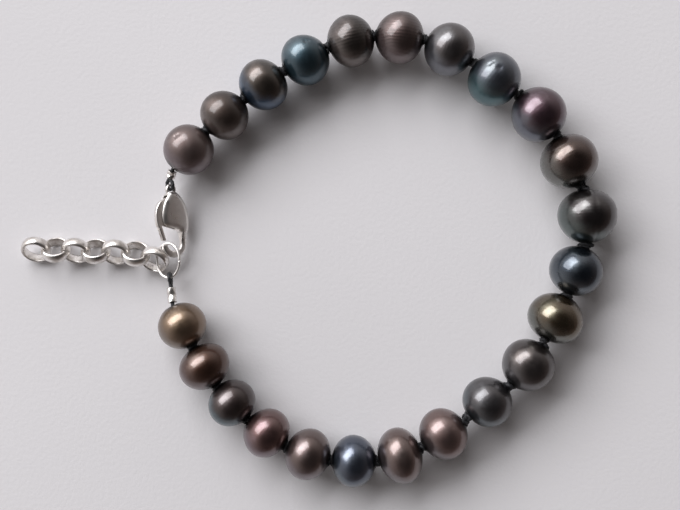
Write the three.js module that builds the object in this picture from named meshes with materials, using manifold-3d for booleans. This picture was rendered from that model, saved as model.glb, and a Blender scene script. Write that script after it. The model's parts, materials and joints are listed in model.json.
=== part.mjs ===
// A bracelet of dyed freshwater pearls, knotted on black silk and lying flat in an open ring.
// It is closed by a lobster clasp on an oval jump ring, which also carries a short chain.
// Millimetres, +Z up. Every pearl and chain link touches the table, which is z = 0.

import * as THREE from 'three';
import { mergeVertices } from 'three/addons/utils/BufferGeometryUtils.js';
import Module from 'manifold-3d';

const wasm = await Module();
wasm.setup();

// Pearls
const pearlSize = 7.6; // nominal pearl, measured across the silk
const pearlSides = 14;
const pearlBands = 7; // odd, so that the widest band is flat and rests on the table

// Silk, and the holes that it runs through
const silkRadius = 0.2;
const silkSides = 6;
const holeClearance = 0.25;
const holeRadius = silkRadius + holeClearance;
const dimpleRadius = 2.1 * holeRadius; // rim of the hollow around each drilled hole
const dimpleDepth = 0.3;
const silkLead = 0.4; // free silk between the upper crimp and the first pearl
const silkTail = 0.4; // free silk between the last pearl and the lower crimp
const knotRadius = 1.8 * silkRadius;
const knotClearance = 0.2; // between a knot and the mouths of the holes beside it
const loopClearance = 0.18; // between a silk loop and the metal that it holds
const loopReach = 1.4; // from the jump ring's wire to the root of its silk loop
const rootKnotRadius = 1.5 * silkRadius;

// Crimp tubes
const crimpClearance = 0.16;
const crimpWall = 0.29;
const crimpSqueeze = 0.09; // how far the pliers have pressed its waist in
const crimpBore = silkRadius + crimpClearance;
const crimpRadius = crimpBore + crimpWall;
const crimpSides = 10;
const upperCrimpLength = 0.95;
const lowerCrimpLength = 2.1;
const crimpSeat = 0.42; // its middle, as a share of the way from the silk's loop into the pearl

// Lobster clasp, drawn from the eye at x = 0 to the nose, with +y towards its spine
const claspLength = 10.7;
const eyeRadius = 0.85;
const eyeHole = 0.43;
const eyeThickness = 0.6;
const neckHalfWidth = 0.5;
const bodyThickness = 2.0;
const bodyRounding = 0.4;
const spineReach = 1.85; // from the middle line to the spine, beside the opening
const spineBulge = 0.85; // how much further out the spine's curve is drawn
const cheekReach = 2.1; // from the middle line to the cheeks' edge, on the lever's side
const hookThickness = 0.9;
const hookRounding = 0.25;
const hookRadius = 2.0;
const hookDrop = 0.2; // from the spine down to the hook's back
const hookOpening = 1.15; // inner radius of the hook
const openingSetback = 0.1; // from the hook's middle to its opening's, towards the eye
const openingDrop = 0.05; // and towards the lever
const slotFloor = 0.3;
const pinRadius = 0.28;
const pinRecess = 0.2; // the pin's ends lie this deep in the cheeks

// The clasp's lever
const leverThickness = 0.7;
const leverSideClearance = 0.15;
const leverBoreClearance = 0.14;
const leverWall = 0.28; // around its bore
const leverReach = 3.0; // from the middle line to the thumb's bulge
const leverEndGap = 0.5; // between the lever's end and the middle of the hook's opening
const rodWidth = 0.55;
const rodSink = 0.45; // how far the rod lies outside the opening's lever side
const slotWidth = leverThickness + 2 * leverSideClearance;
const leverBore = pinRadius + leverBoreClearance;
const leverBoss = leverBore + leverWall;
const pivotShare = 0.252; // the pin's place, as a share of the clasp's length
const pivot = new THREE.Vector2(pivotShare * claspLength, -0.4 * cheekReach);

// How the clasp lies: from its eye towards its nose, on its spine, with the nose a little low
const claspPlace = new THREE.Vector3(-24.6, 10.3, 2.9);
const claspHeading = THREE.MathUtils.degToRad(-84.7);
const claspPitch = THREE.MathUtils.degToRad(4);
const claspRoll = THREE.MathUtils.degToRad(-42);

// Oval jump ring, which hangs through the hook's opening
const ringWire = 0.2; // radius
const ringSides = 6;
const ringHalfWidth = 1.9; // to the middle of the wire
const ringHalfHeight = 2.5;
const ringSeam = 0.04; // half of the cut in the wire
const ringTilt = THREE.MathUtils.degToRad(-24);
const ringInHook = new THREE.Vector3(0.2, -0.18, 0); // its wire, from the opening's middle
const ringCrossing = THREE.MathUtils.degToRad(65.5); // the place on the ring that lies there
const loopOnRing = 0.32; // how far right of the ring's lowest point the silk holds it

// Extension chain
const linkCount = 7;
const linkBore = 1.6;
const linkBand = 0.55; // thickness of the band
const linkRadius = linkBore + linkBand;
const linkWidth = 1.5;
const linkFlat = 0.8; // width of the flat inside of the band
const linkCrown = 0.7; // width of the flat outside of the band
const linkSides = 14;
const linkPlay = 0.11; // between one link's band and the next one's
const linkPitch = linkBore + Math.sqrt(linkBore ** 2 - (linkWidth / 2) ** 2) - linkPlay;
const chainHold = 0.3; // from the jump ring's wire to the middle of the first link
const chainRise = 0.15; // the first link's place on the ring, above the ring's middle

// The chain's route seen from above, from the middle of its first link to its free end
const chainRoute = [
  [0, 0],
  [-2.8, 0.8],
  [-8.7, 1.15],
  [-19.0, 1.5],
];

// The strand's route seen from above, from the upper crimp round to the last pearl but one.
// It ends beside the lower crimp, at a place that hangs on the jump ring.
const strandRoute = [
  [-23.9, 12.0],
  [-21.7, 15.2],
  [-11.1, 24.4],
  [1.4, 30.7],
  [8.5, 31.2],
  [15.6, 29.5],
  [22.1, 25.1],
  [28.5, 20.0],
  [35.3, 5.4],
  [30.8, -8.9],
  [26.9, -15.7],
  [21.0, -21.1],
  [8.4, -28.7],
  [-4.8, -28.5],
  [-15.6, -21.2],
  [-22.7, -10.2],
];
const strandEnd = new THREE.Vector3(0.543, -3.653, 0); // from the wire that the silk holds

// Colours
const tones = {
  taupe: 0x6e625c,
  brown: 0x5c4f49,
  bronze: 0x6b5f4c,
  mauve: 0x63545a,
  slate: 0x55585c,
  teal: 0x4c5d60,
  steel: 0x49545f,
};

// One row for each pearl, in order from the clasp. along, across and knot are shares of
// pearlSize: its length on the silk, its width, and the room for the knot that follows it.
// widest is the place of its widest girth as a share of its length.
const pearls = [
  { along: 0.92, across: 0.98, widest: 0.5, knot: 0.04, tone: 'taupe' },
  { along: 0.87, across: 0.96, widest: 0.48, knot: 0.05, tone: 'brown' },
  { along: 0.87, across: 1.0, widest: 0.52, knot: 0.06, tone: 'brown' },
  { along: 0.88, across: 0.98, widest: 0.48, knot: 0.05, tone: 'teal' },
  { along: 0.87, across: 1.0, widest: 0.5, knot: 0.05, tone: 'taupe' },
  { along: 0.9, across: 1.0, widest: 0.52, knot: 0.06, tone: 'mauve' },
  { along: 0.93, across: 1.02, widest: 0.5, knot: 0.08, tone: 'slate' },
  { along: 0.96, across: 1.06, widest: 0.48, knot: 0.08, tone: 'teal' },
  { along: 1.01, across: 1.06, widest: 0.52, knot: 0.05, tone: 'mauve' },
  { along: 1.0, across: 1.11, widest: 0.5, knot: 0.09, tone: 'bronze' },
  { along: 1.02, across: 1.13, widest: 0.47, knot: 0.08, tone: 'slate' },
  { along: 0.93, across: 1.02, widest: 0.5, knot: 0.04, tone: 'steel' },
  { along: 0.92, across: 1.08, widest: 0.52, knot: 0.11, tone: 'bronze' },
  { along: 0.95, across: 1.02, widest: 0.48, knot: 0.11, tone: 'brown' },
  { along: 0.9, across: 0.98, widest: 0.52, knot: 0.14, tone: 'steel' },
  { along: 0.88, across: 1.0, widest: 0.5, knot: 0.07, tone: 'brown' },
  { along: 0.82, across: 1.08, widest: 0.48, knot: 0.05, tone: 'taupe' },
  { along: 0.83, across: 0.99, widest: 0.52, knot: 0.05, tone: 'steel' },
  { along: 0.84, across: 0.99, widest: 0.5, knot: 0.05, tone: 'mauve' },
  { along: 0.83, across: 0.96, widest: 0.48, knot: 0.04, tone: 'mauve' },
  { along: 0.82, across: 0.94, widest: 0.5, knot: 0.04, tone: 'steel' },
  { along: 0.82, across: 1.0, widest: 0.52, knot: 0.04, tone: 'brown' },
  { along: 0.85, across: 0.94, widest: 0.5, knot: 0, tone: 'bronze' },
];

const up = new THREE.Vector3(0, 0, 1);

function pearlFinish(tone) {
  return new THREE.MeshStandardMaterial({ color: tones[tone], roughness: 0.32, metalness: 0.25 });
}

function silverFinish() {
  return new THREE.MeshStandardMaterial({ color: 0xc9c7c2, roughness: 0.2, metalness: 1 });
}

function silkFinish() {
  return new THREE.MeshStandardMaterial({ color: 0x17171b, roughness: 0.8, metalness: 0 });
}

function solidOf(geometry) {
  geometry.deleteAttribute('normal');
  geometry.deleteAttribute('uv');
  const merged = mergeVertices(geometry, 1e-4);
  const vertProperties = new Float32Array(merged.attributes.position.array);
  const triVerts = new Uint32Array(merged.index.array);
  return new wasm.Manifold(new wasm.Mesh({ numProp: 3, vertProperties, triVerts }));
}

function geometryOf(solid) {
  const mesh = solid.getMesh();
  const geometry = new THREE.BufferGeometry();
  geometry.setAttribute('position', new THREE.BufferAttribute(mesh.vertProperties, 3));
  geometry.setIndex(new THREE.BufferAttribute(mesh.triVerts, 1));
  geometry.computeVertexNormals();
  return geometry;
}

// A regular section whose flats, not its corners, lie at the given radius from the middle
function roundSection(radius, sides) {
  const corner = radius / Math.cos(Math.PI / sides);
  const points = [];
  for (let side = 0; side < sides; side += 1) {
    const angle = (side + 0.5) * 2 * Math.PI / sides;
    points.push(new THREE.Vector2(corner * Math.cos(angle), corner * Math.sin(angle)));
  }
  return new THREE.Shape(points);
}

// A route of straight stretches that bends only at its own points
class BentRoute extends THREE.Curve {
  constructor(points) {
    super();
    this.points = points;
  }

  getPoint(t) {
    const place = THREE.MathUtils.clamp(t, 0, 1) * (this.points.length - 1);
    const index = Math.min(Math.floor(place), this.points.length - 2);
    return this.points[index].clone().lerp(this.points[index + 1], place - index);
  }

  getUtoTmapping(u) {
    return u;
  }
}

function wireAlong(points, radius, sides) {
  return new THREE.ExtrudeGeometry(roundSection(radius, sides), {
    steps: points.length - 1,
    extrudePath: new BentRoute(points),
  });
}

// A tube or a drilled bead turned around its own y axis, from a profile that closes on itself
function turned(profile, sides) {
  const corner = 1 / Math.cos(Math.PI / sides);
  const points = profile.map(([radius, height]) => new THREE.Vector2(radius * corner, height));
  points.push(points[0].clone());
  return new THREE.LatheGeometry(points, sides, Math.PI / sides);
}

function named(name, geometry, material) {
  const mesh = new THREE.Mesh(geometry, material);
  mesh.name = name;
  return mesh;
}

function numbered(stem, number) {
  return `${stem}_${String(number).padStart(2, '0')}`;
}

// Turns a piece so that its y axis points along the given axis and a flat side faces down
function aim(mesh, centre, axis) {
  const side = new THREE.Vector3().crossVectors(axis, up).normalize();
  const top = new THREE.Vector3().crossVectors(side, axis);
  mesh.quaternion.setFromRotationMatrix(new THREE.Matrix4().makeBasis(side, axis, top));
  mesh.position.copy(centre);
  return mesh;
}

// The strand's route, widened by the given share about its start, while both ends stay put
function widened(growth) {
  const stops = strandRoute.map(([x, y]) => new THREE.Vector3(x, y, 0));
  stops.push(heldWire().add(strandEnd).setZ(0));
  const start = stops[0].clone();
  return new THREE.CatmullRomCurve3(stops.map((stop, index) => {
    const ease = Math.sqrt(Math.sin(Math.PI * index / (stops.length - 1)));
    return stop.lerp(start, (1 - growth) * ease);
  }));
}

function routeOfLength(length) {
  const passes = 6;
  let growth = 1;
  for (let pass = 0; pass < passes; pass += 1) {
    growth *= length / widened(growth).getLength();
  }
  return widened(growth);
}

// Strings the pearls: each one's middle, its axis and its half sizes. An axis points from the
// pearl before to the pearl after, so that the mouths of neighbouring holes face each other.
function stringPearls() {
  const strung = pearls.reduce((sum, pearl) => sum + (pearl.along + pearl.knot) * pearlSize, 0);
  const length = silkLead + strung + silkTail;
  const route = routeOfLength(length);
  let travelled = silkLead;
  const stops = pearls.map((pearl) => {
    const middle = travelled + pearl.along * pearlSize / 2;
    travelled += (pearl.along + pearl.knot) * pearlSize;
    return route.getPointAt(middle / length);
  });
  const path = [route.getPoint(0), ...stops, route.getPoint(1)];
  return pearls.map((pearl, index) => {
    const halfLength = pearl.along * pearlSize / 2;
    const radius = pearl.across * pearlSize / 2;
    const axis = path[index + 2].clone().sub(path[index]).normalize();
    return { ...pearl, centre: stops[index].clone().setZ(radius), axis, halfLength, radius };
  });
}

function mouth(bead, side) {
  return bead.centre.clone().addScaledVector(bead.axis, side * (bead.halfLength - dimpleDepth));
}

// An oval outline cut off at the dimple's rim, then the dimple and the drilled hole
function pearlProfile({ halfLength, radius, widest }) {
  const rimAngle = Math.asin(dimpleRadius / radius);
  const bandAngle = (Math.PI - 2 * rimAngle) / pearlBands;
  const profile = [[holeRadius, halfLength - dimpleDepth], [holeRadius, dimpleDepth - halfLength]];
  for (let band = 0; band <= pearlBands; band += 1) {
    const angle = rimAngle + band * bandAngle;
    const reach = Math.cos(angle) / Math.cos(rimAngle);
    const bulge = (widest - 0.5) * 2 * halfLength * (1 - reach * reach);
    profile.push([radius * Math.sin(angle) / Math.cos(bandAngle / 2), bulge - halfLength * reach]);
  }
  return profile;
}

function makePearl(bead, index) {
  const geometry = turned(pearlProfile(bead), pearlSides);
  const mesh = named(numbered('pearl', index + 1), geometry, pearlFinish(bead.tone));
  return aim(mesh, bead.centre, bead.axis);
}

// A knot fills the room between two pearls and their dimples
function makeKnot(before, after) {
  const start = mouth(before, 1);
  const end = mouth(after, -1);
  const halfLength = start.distanceTo(end) / 2 - knotClearance;
  const geometry = new THREE.SphereGeometry(1, 6, 4);
  const knot = named('knot', geometry, silkFinish());
  knot.scale.set(knotRadius, halfLength, knotRadius);
  aim(knot, start.clone().lerp(end, 0.5), end.clone().sub(start).normalize());
  knot.updateMatrix();
  return geometry.applyMatrix4(knot.matrix);
}

// A silk loop from its root right round the metal that it holds, and back to its root.
// Its two ends stay just apart, inside the knot at the root.
function makeLoop(root, far, rise) {
  const centre = root.clone().lerp(far, 0.5);
  const reach = root.clone().sub(centre);
  const steps = 12;
  const endAngle = 0.12;
  const points = [];
  for (let step = 0; step <= steps; step += 1) {
    const angle = THREE.MathUtils.lerp(endAngle, 2 * Math.PI - endAngle, step / steps);
    const point = centre.clone().addScaledVector(reach, Math.cos(angle));
    points.push(point.addScaledVector(rise, Math.sin(angle)));
  }
  return wireAlong(points, silkRadius, silkSides);
}

function rootKnot(root) {
  return new THREE.SphereGeometry(rootKnotRadius, 6, 4).translate(root.x, root.y, root.z);
}

// Where the clasp's own drawing lies in the bracelet
function claspFrame() {
  const turn = new THREE.Euler(claspRoll, claspPitch, claspHeading, 'ZYX');
  const matrix = new THREE.Matrix4().makeRotationFromEuler(turn);
  return matrix.setPosition(claspPlace);
}

// A point on the jump ring's wire, at an angle from its right side
function onRing(angle) {
  return new THREE.Vector3(ringHalfWidth * Math.cos(angle), ringHalfHeight * Math.sin(angle), 0);
}

// Where the jump ring lies, so that its wire goes through the hook's opening
function ringFrame() {
  const matrix = new THREE.Matrix4().makeRotationY(ringTilt);
  const hold = openingCentre.clone().add(ringInHook).applyMatrix4(claspFrame());
  return matrix.setPosition(hold.sub(onRing(ringCrossing).applyMatrix4(matrix)));
}

// The silk's loop in the clasp's eye, drawn in the clasp's own frame
function eyeLoopEnds() {
  const bar = (eyeRadius - eyeHole) / 2;
  const reach = bar + loopClearance + silkRadius;
  const root = new THREE.Vector3(bar - reach - rootKnotRadius / 2, 0, 0);
  return { root, far: new THREE.Vector3(bar + reach, 0, 0) };
}

function eyeLoopRoot() {
  return eyeLoopEnds().root.applyMatrix4(claspFrame());
}

function eyeLoop() {
  const { root, far } = eyeLoopEnds();
  const rise = new THREE.Vector3(0, 0, eyeThickness / 2 + loopClearance + silkRadius);
  return makeLoop(root, far, rise).applyMatrix4(claspFrame());
}

// The place on the jump ring's wire that the silk holds
function heldWire() {
  return onRing(-Math.acos(loopOnRing / ringHalfWidth)).applyMatrix4(ringFrame());
}

// The silk's loop on the jump ring: the wire's place, and the way from it to the last pearl
function ringLoopLine(lastMouth) {
  const wire = heldWire();
  return { wire, way: lastMouth.clone().sub(wire).normalize() };
}

function ringLoopRoot(lastMouth) {
  const { wire, way } = ringLoopLine(lastMouth);
  return wire.addScaledVector(way, loopReach);
}

function ringLoop(lastMouth) {
  const { wire, way } = ringLoopLine(lastMouth);
  const reach = 1.1 * (ringWire + loopClearance + silkRadius);
  const far = wire.clone().addScaledVector(way, -reach);
  const side = new THREE.Vector3().crossVectors(way, up).normalize();
  const rise = new THREE.Vector3().crossVectors(side, way).multiplyScalar(1.2 * reach);
  return makeLoop(ringLoopRoot(lastMouth), far, rise);
}

// The silk runs straight through every pearl and bends at the knots between them
function makeSilk(beads) {
  const firstMouth = mouth(beads[0], -1);
  const lastMouth = mouth(beads.at(-1), 1);
  const route = beads.flatMap((bead) => [mouth(bead, -1), mouth(bead, 1)]);
  const ends = [eyeLoopRoot(), ringLoopRoot(lastMouth)];
  const knots = beads.slice(1).map((bead, index) => makeKnot(beads[index], bead));
  const pieces = [...knots, eyeLoop(), ringLoop(lastMouth), rootKnot(ends[0]), rootKnot(ends[1])];
  const strand = solidOf(wireAlong([ends[0], ...route, ends[1]], silkRadius, silkSides));
  const silk = pieces.reduce((whole, piece) => whole.add(solidOf(piece)), strand);
  return {
    silk: named('silk_thread', geometryOf(silk), silkFinish()),
    upper: [ends[0], firstMouth],
    lower: [ends[1], lastMouth],
  };
}

// A squeezed silver tube, threaded on a straight stretch of the silk
function makeCrimp(name, [root, end], length) {
  const half = length / 2;
  const profile = [
    [crimpBore, half],
    [crimpBore, -half],
    [crimpRadius, -half],
    [crimpRadius, -half / 2],
    [crimpRadius - crimpSqueeze, 0],
    [crimpRadius, half / 2],
    [crimpRadius, half],
  ];
  const crimp = named(name, turned(profile, crimpSides), silverFinish());
  return aim(crimp, root.clone().lerp(end, crimpSeat), end.clone().sub(root).normalize());
}

// A flat plate in the clasp's drawing, rounded at its edges and centred on its thickness
function plate(shape, thickness, rounding) {
  const geometry = new THREE.ExtrudeGeometry(shape, {
    depth: thickness - 2 * rounding,
    curveSegments: 6,
    bevelEnabled: rounding > 0,
    bevelThickness: rounding,
    bevelSize: rounding,
    bevelOffset: -rounding,
    bevelSegments: 2,
  });
  return geometry.translate(0, 0, rounding - thickness / 2);
}

function claspEye() {
  const half = eyeThickness / 2;
  const middle = (eyeRadius + eyeHole) / 2;
  const profile = [
    [eyeHole, half / 2],
    [eyeHole, -half / 2],
    [middle, -half],
    [eyeRadius, -half / 2],
    [eyeRadius, half / 2],
    [middle, half],
  ];
  return turned(profile, 12).rotateX(Math.PI / 2).translate(eyeRadius, 0, 0);
}

// The middles of the hook and of its opening, and the opening's edge on the spine's side
const hookCentre = new THREE.Vector3(claspLength - hookRadius, spineReach - hookRadius - hookDrop, 0);
const openingCentre = hookCentre.clone().sub(new THREE.Vector3(openingSetback, openingDrop, 0));
const openingSpine = openingCentre.y + hookOpening;

// Adds a curve to an outline of the clasp. Each point is a share of the clasp's length along
// it, and a height over its middle line.
function curveTo(shape, ...points) {
  shape.bezierCurveTo(...points.flatMap(([share, height]) => [share * claspLength, height]));
}

// The outline of the two cheeks: along the lever's side, round the opening, back by the spine
function bodyShape() {
  const neck = 1.4 * eyeRadius / claspLength;
  const side = -cheekReach;
  const bulge = spineReach + spineBulge;
  const shoulderEnd = 0.71 * claspLength;
  const shape = new THREE.Shape();
  shape.moveTo(neck * claspLength, -neckHalfWidth);
  curveTo(shape, [0.224, 0.9 * side], [0.411, 1.17 * side], [0.523, side]);
  curveTo(shape, [0.598, 0.8 * side], [0.589, 0.16 * spineReach], [0.673, openingSpine]);
  shape.lineTo(shoulderEnd, openingSpine);
  shape.lineTo(shoulderEnd, spineReach);
  curveTo(shape, [0.561, 0.9 * bulge], [0.28, bulge], [neck, neckHalfWidth]);
  return shape;
}

function hookShape() {
  const root = 0.56 * claspLength;
  const shape = new THREE.Shape();
  shape.moveTo(root, spineReach);
  shape.lineTo(root, openingSpine);
  shape.absarc(openingCentre.x, openingCentre.y, hookOpening, Math.PI / 2, -Math.PI / 2, true);
  shape.absarc(hookCentre.x, hookCentre.y, hookRadius, -Math.PI / 2, Math.PI / 2, false);
  return shape;
}

// The slot is open on the lever's side, and its floor is inside the spine
function slotSolid() {
  const start = 0.154 * claspLength;
  const end = 0.73 * claspLength;
  const depth = cheekReach + spineReach;
  const box = new THREE.BoxGeometry(end - start, depth, slotWidth);
  return solidOf(box.translate((start + end) / 2, slotFloor - depth / 2, 0));
}

function pinSolid() {
  const pin = new THREE.CylinderGeometry(pinRadius, pinRadius, bodyThickness - 2 * pinRecess, 10);
  return solidOf(pin.rotateX(Math.PI / 2).translate(pivot.x, pivot.y, 0));
}

function makeClaspBody() {
  const cheeks = solidOf(plate(bodyShape(), bodyThickness, bodyRounding)).subtract(slotSolid());
  const hook = solidOf(plate(hookShape(), hookThickness, hookRounding));
  const body = cheeks.add(hook).add(solidOf(claspEye())).add(pinSolid());
  return named('clasp_body', geometryOf(body), silverFinish());
}

// The lever: a boss on the pin, the bulge for the thumbnail, and the rod that shuts the hook
function leverShape() {
  const end = openingCentre.x - leverEndGap;
  const rodMiddle = openingCentre.y - hookOpening - rodSink;
  const bulge = -leverReach;
  const inner = pivot.y + leverBoss;
  const shape = new THREE.Shape();
  shape.moveTo(pivot.x - leverBoss, pivot.y);
  curveTo(shape, [0.196, 0.83 * bulge], [0.327, 1.12 * bulge], [0.542, 0.98 * bulge]);
  shape.lineTo(0.575 * claspLength, 0.92 * bulge);
  shape.lineTo(end, rodMiddle - rodWidth / 2);
  shape.lineTo(end, rodMiddle + rodWidth / 2);
  shape.lineTo(0.561 * claspLength, 0.73 * bulge);
  curveTo(shape, [0.449, 0.63 * bulge], [0.374, inner], [pivotShare, inner]);
  shape.absarc(pivot.x, pivot.y, leverBoss, Math.PI / 2, Math.PI, false);
  const bore = new THREE.Path();
  bore.absarc(pivot.x, pivot.y, leverBore, 0, 2 * Math.PI, true);
  shape.holes.push(bore);
  return shape;
}

function makeClaspLever() {
  return named('clasp_lever', plate(leverShape(), leverThickness, 0), silverFinish());
}

function makeClasp() {
  const clasp = new THREE.Group();
  clasp.applyMatrix4(claspFrame());
  clasp.add(makeClaspBody(), makeClaspLever());
  return clasp;
}

// The jump ring is a bent wire whose cut ends almost meet
function makeJumpRing() {
  const steps = 18;
  const seamAngle = ringSeam / ringHalfHeight;
  const points = [];
  for (let step = 0; step <= steps; step += 1) {
    points.push(onRing(THREE.MathUtils.lerp(seamAngle, 2 * Math.PI - seamAngle, step / steps)));
  }
  const ring = named('jump_ring', wireAlong(points, ringWire, ringSides), silverFinish());
  ring.applyMatrix4(ringFrame());
  return ring;
}

// A chain link is a wide band, flat inside and crowned outside
function makeLink(number) {
  const shoulder = (linkBore + linkRadius) / 2;
  const profile = [
    [linkBore, linkFlat / 2],
    [linkBore, -linkFlat / 2],
    [shoulder, -linkWidth / 2],
    [linkRadius, -linkCrown / 2],
    [linkRadius, linkCrown / 2],
    [shoulder, linkWidth / 2],
  ];
  const link = named(numbered('chain_link', number), turned(profile, linkSides), silverFinish());
  const lean = number % 2 === 1 ? 1 : -1;
  link.rotation.x = lean * Math.PI / 4;
  return link;
}

// The links lean to either side by turns, so each one rests on the table by its edge
function makeChain() {
  const chain = new THREE.Group();
  const route = new THREE.CatmullRomCurve3(chainRoute.map(([x, y]) => new THREE.Vector3(x, y, 0)));
  for (let number = 1; number <= linkCount; number += 1) {
    const share = (number - 1) * linkPitch / route.getLength();
    const heading = route.getTangentAt(share);
    const place = new THREE.Group();
    place.position.copy(route.getPointAt(share));
    place.rotation.z = Math.atan2(heading.y, heading.x);
    place.add(makeLink(number));
    chain.add(place);
  }
  const shoulder = (linkBore + linkRadius) / 2;
  const hold = onRing(Math.PI - Math.asin(chainRise / ringHalfHeight)).applyMatrix4(ringFrame());
  chain.position.set(hold.x - chainHold, hold.y, (shoulder + linkWidth / 2) * Math.SQRT1_2);
  return chain;
}

// Puts the origin at the middle of the bracelet's box, on the table
function centred(group) {
  group.updateMatrixWorld(true);
  const box = new THREE.Box3().setFromObject(group, true);
  const middle = box.getCenter(new THREE.Vector3());
  group.position.set(-middle.x, -middle.y, -box.min.z);
  return group;
}

function makeBracelet() {
  const beads = stringPearls();
  const { silk, upper, lower } = makeSilk(beads);
  const bracelet = new THREE.Group();
  bracelet.add(...beads.map(makePearl), silk);
  bracelet.add(makeCrimp('crimp_upper', upper, upperCrimpLength));
  bracelet.add(makeCrimp('crimp_lower', lower, lowerCrimpLength));
  bracelet.add(makeClasp(), makeJumpRing(), makeChain());
  return centred(bracelet);
}

export default makeBracelet();
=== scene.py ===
"""A bracelet of dyed freshwater pearls with a lobster clasp and a chain, dressed around its frame."""

import json
import math
from collections import namedtuple

import bmesh
import bpy
import numpy as np
from mathutils import Matrix, Vector, noise


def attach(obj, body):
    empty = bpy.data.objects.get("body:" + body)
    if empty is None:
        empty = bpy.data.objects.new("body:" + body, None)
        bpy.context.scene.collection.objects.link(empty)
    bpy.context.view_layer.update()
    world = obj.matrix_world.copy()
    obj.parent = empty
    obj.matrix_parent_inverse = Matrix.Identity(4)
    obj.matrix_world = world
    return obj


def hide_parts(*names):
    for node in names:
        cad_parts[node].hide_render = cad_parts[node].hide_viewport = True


bl_info = {
    "name": "Pearl bracelet",
    "version": (1, 0, 0),
    "blender": (4, 5, 0),
    "location": "3D View > Sidebar > Bracelet",
    "description": "Dresses a knotted pearl bracelet, its clasp and its chain",
    "category": "Add Mesh",
}

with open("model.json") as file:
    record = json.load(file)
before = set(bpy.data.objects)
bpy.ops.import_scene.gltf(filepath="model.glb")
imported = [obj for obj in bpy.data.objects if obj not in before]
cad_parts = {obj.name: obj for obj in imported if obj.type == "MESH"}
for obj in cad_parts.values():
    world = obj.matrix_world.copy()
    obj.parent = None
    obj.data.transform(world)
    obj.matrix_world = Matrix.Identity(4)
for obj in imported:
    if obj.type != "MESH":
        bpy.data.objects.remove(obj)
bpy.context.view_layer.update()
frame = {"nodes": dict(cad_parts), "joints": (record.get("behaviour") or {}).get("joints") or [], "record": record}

MM = 0.001
PEARL_COUNT = 23
LINK_COUNT = 7

# The frame's faceted solids, as far as they have to be read back
PEARL_SIDES = 14
LINK_SIDES = 14
DIMPLE_DEPTH = 0.3 * MM
HOLE_RADIUS = 0.45 * MM
DIMPLE_RADIUS = 0.94 * MM

# The picture that the camera frames, at the level of the pearls' middles
PICTURE_WIDTH = 97.6 * MM
PICTURE_CENTRE = (3.3 * MM, -0.86 * MM)
PICTURE_LEVEL = 4 * MM

# The lobster clasp's drawing, in millimetres: its eye at x = 0, its nose at x = CLASP_LENGTH,
# and its spine towards +y
CLASP_LENGTH = 10.7
CLASP_HEADING = math.radians(-84.7)
CLASP_PITCH = math.radians(4)
CLASP_ROLL = math.radians(-42)
EYE_RADIUS = 0.85
EYE_HOLE = 0.43
EYE_THICKNESS = 0.6
NECK_HALF_WIDTH = 0.5
BODY_THICKNESS = 2.0
SPINE_REACH = 1.85
SPINE_BULGE = 0.85
CHEEK_REACH = 2.1
HOOK_RADIUS = 2.0
HOOK_OPENING = 1.15
HOOK_THICKNESS = 0.9
HOOK_CENTRE = Vector((CLASP_LENGTH - HOOK_RADIUS, SPINE_REACH - HOOK_RADIUS - 0.2))
OPENING_CENTRE = HOOK_CENTRE - Vector((0.1, 0.05))
PIVOT = Vector((0.252 * CLASP_LENGTH, -0.4 * CHEEK_REACH))
PIN_RADIUS = 0.28
SLOT_WIDTH = 1.0
SLOT_FLOOR = 0.3
LEVER_REACH = 3.0
LEVER_THICKNESS = 0.7
LEVER_BOSS = 0.7
LEVER_BORE = 0.42
LEVER_END_GAP = 0.5
ROD_WIDTH = 0.55
ROD_SINK = 0.45

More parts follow.
